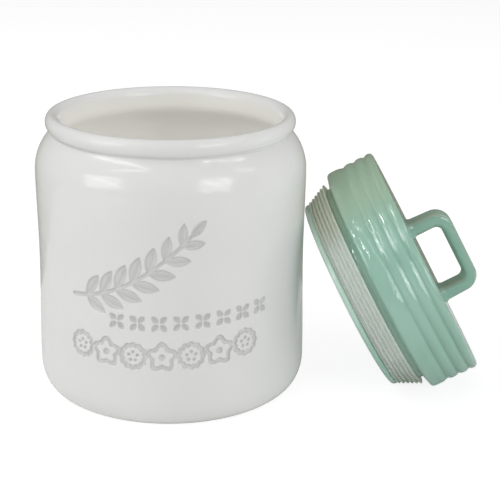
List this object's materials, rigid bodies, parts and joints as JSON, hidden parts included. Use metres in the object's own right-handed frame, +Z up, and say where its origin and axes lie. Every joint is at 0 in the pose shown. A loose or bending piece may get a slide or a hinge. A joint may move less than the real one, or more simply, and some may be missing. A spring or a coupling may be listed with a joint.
{
  "type": "biscuit jar",
  "caption": "Round glazed biscuit jar with a rolled rim, its ribbed lid lying on its side against it, with a square strap handle and a finned seal round the plug.",
  "frame": {"origin": "middle of the jar's foot, on the plane that the jar and the lid stand on", "axes": "+Z up along the jar's axis, +X from the jar towards the lid that lies beside it, and Y across both"},
  "size_m": [0.3009, 0.1842, 0.1866],
  "materials": {
    "white_glaze": "gloss",
    "green_glaze": "gloss",
    "clear_silicone": "satin"
  },
  "bodies": {
    "jar": {"jar_body": "white_glaze"},
    "lid": {"lid_cap": "green_glaze", "lid_handle": "green_glaze", "seal_ring": "clear_silicone"}
  },
  "joints": [
    {"name": "lid_lift", "type": "slide", "parent": "jar", "child": "lid", "axis": [0, 0, 1], "range_m": [0, 0.2]}
  ]
}
